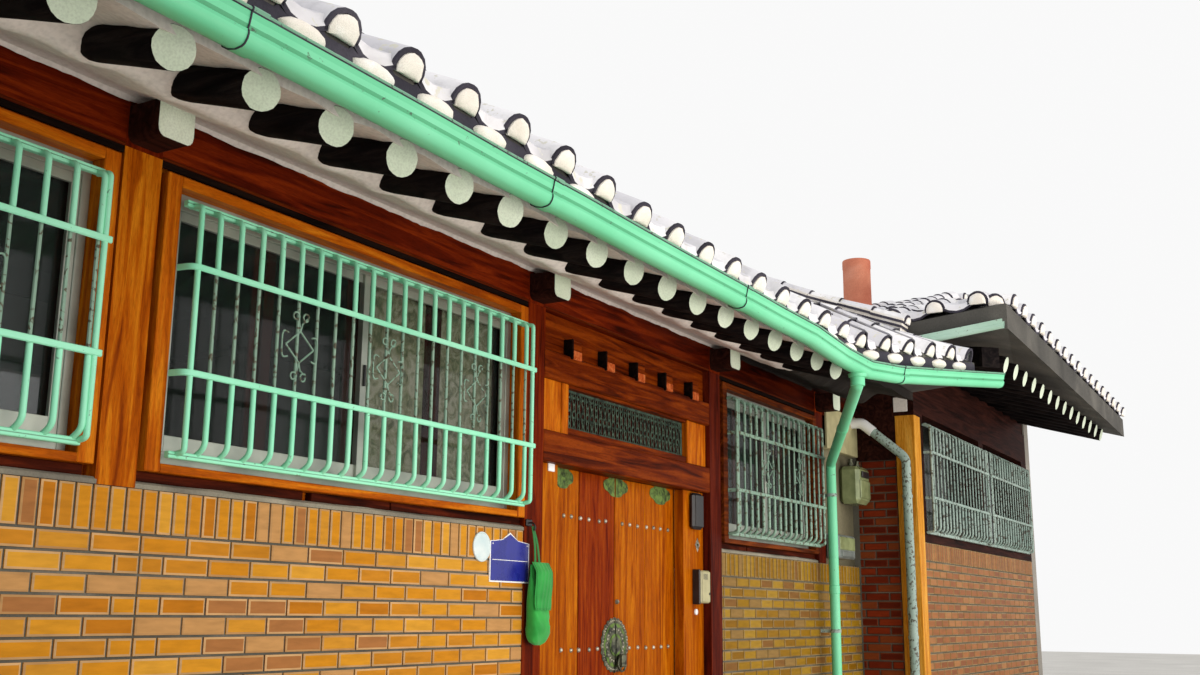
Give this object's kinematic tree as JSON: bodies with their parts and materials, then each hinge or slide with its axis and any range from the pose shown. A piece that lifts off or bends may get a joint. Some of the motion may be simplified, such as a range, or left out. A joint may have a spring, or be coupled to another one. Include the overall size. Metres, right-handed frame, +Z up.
{
  "type": "hanok house",
  "caption": "Low tiled timber house on a street: barred windows over a brick dado, a two-leaf plank gate with a round plate, deep rafter eaves, and a taller wing at the right.",
  "frame": {"origin": "on the ground, below the middle of the whole house", "axes": "+X along the street to the right, +Y from the street into the house, +Z up"},
  "size_m": [14.565, 5.5, 4.78],
  "materials": {
    "brick": "glazed",
    "red_brick": "matte",
    "plaster": "matte",
    "render": "matte",
    "dark_timber": "satin",
    "orange_timber": "gloss",
    "rafter_timber": "matte",
    "roof_tile": "matte",
    "mint_paint": "satin",
    "pale_paint": "satin",
    "glass": "gloss",
    "aged_metal": "satin",
    "terracotta": "matte",
    "bag_fabric": "matte",
    "stone": "matte"
  },
  "bodies": {
    "house": {"party_wall_left": "render", "dado_left": "brick", "dado_right": "brick", "party_wall_right": "render", "wing_dado": "brick", "return_wall": "red_brick", "floor": "stone", "post_1": "orange_timber", "post_a": "orange_timber", "post_d": "orange_timber", "post_b": "orange_timber", "post_c": "orange_timber", "top_beam": "dark_timber", "range_roof_frame": "dark_timber", "rafters_street": "rafter_timber", "rafters_yard": "rafter_timber", "eave_plaster_street": "plaster", "eave_plaster_yard": "plaster", "range_roof_street": "roof_tile", "range_roof_yard": "roof_tile", "range_verge_ridge": "roof_tile", "range_ridge": "roof_tile", "wing_roof": "roof_tile", "wing_gable_street": "plaster", "wing_gable_yard": "plaster", "wing_ridge": "roof_tile", "wing_street_frame": "dark_timber", "wing_glazing": "glass", "wing_roof_frame": "dark_timber", "wing_rafters_street": "rafter_timber", "wing_rafters_yard": "rafter_timber", "yard_frame": "dark_timber", "yard_infill": "plaster", "yard_glazing_left": "glass", "yard_glazing_right": "glass", "window_frame_1": "orange_timber", "window_pane_1": "glass", "window_grille_1": "mint_paint", "window_frame_2": "orange_timber", "window_pane_2": "glass", "window_grille_2": "mint_paint", "window_frame_3": "orange_timber", "window_pane_3": "glass", "window_grille_3": "mint_paint", "wing_grille_1": "aged_metal", "wing_grille_2": "aged_metal", "narrow_bay_panel": "plaster", "gate_jamb_left": "orange_timber", "gate_jamb_right": "orange_timber", "gate_threshold": "dark_timber", "gate_head": "dark_timber", "gate_transom_lattice": "aged_metal", "street_gutter": "mint_paint", "wing_gutter": "pale_paint", "downpipe_range": "mint_paint", "downpipe_corner": "pale_paint", "chimney": "terracotta", "delivery_bag": "bag_fabric"},
    "left_leaf": {"gate_leaf_left": "orange_timber"},
    "right_leaf": {"gate_leaf_right": "orange_timber"}
  },
  "joints": [
    {"name": "left_leaf_hinge", "type": "hinge", "parent": "house", "child": "left_leaf", "pos_m": [-1.7005, -1.1035, 0.16], "axis": [0, 0, 1], "range_deg": [0, 95]},
    {"name": "right_leaf_hinge", "type": "hinge", "parent": "house", "child": "right_leaf", "pos_m": [-0.2345, -1.1035, 0.16], "axis": [0, 0, -1], "range_deg": [0, 95]}
  ]
}
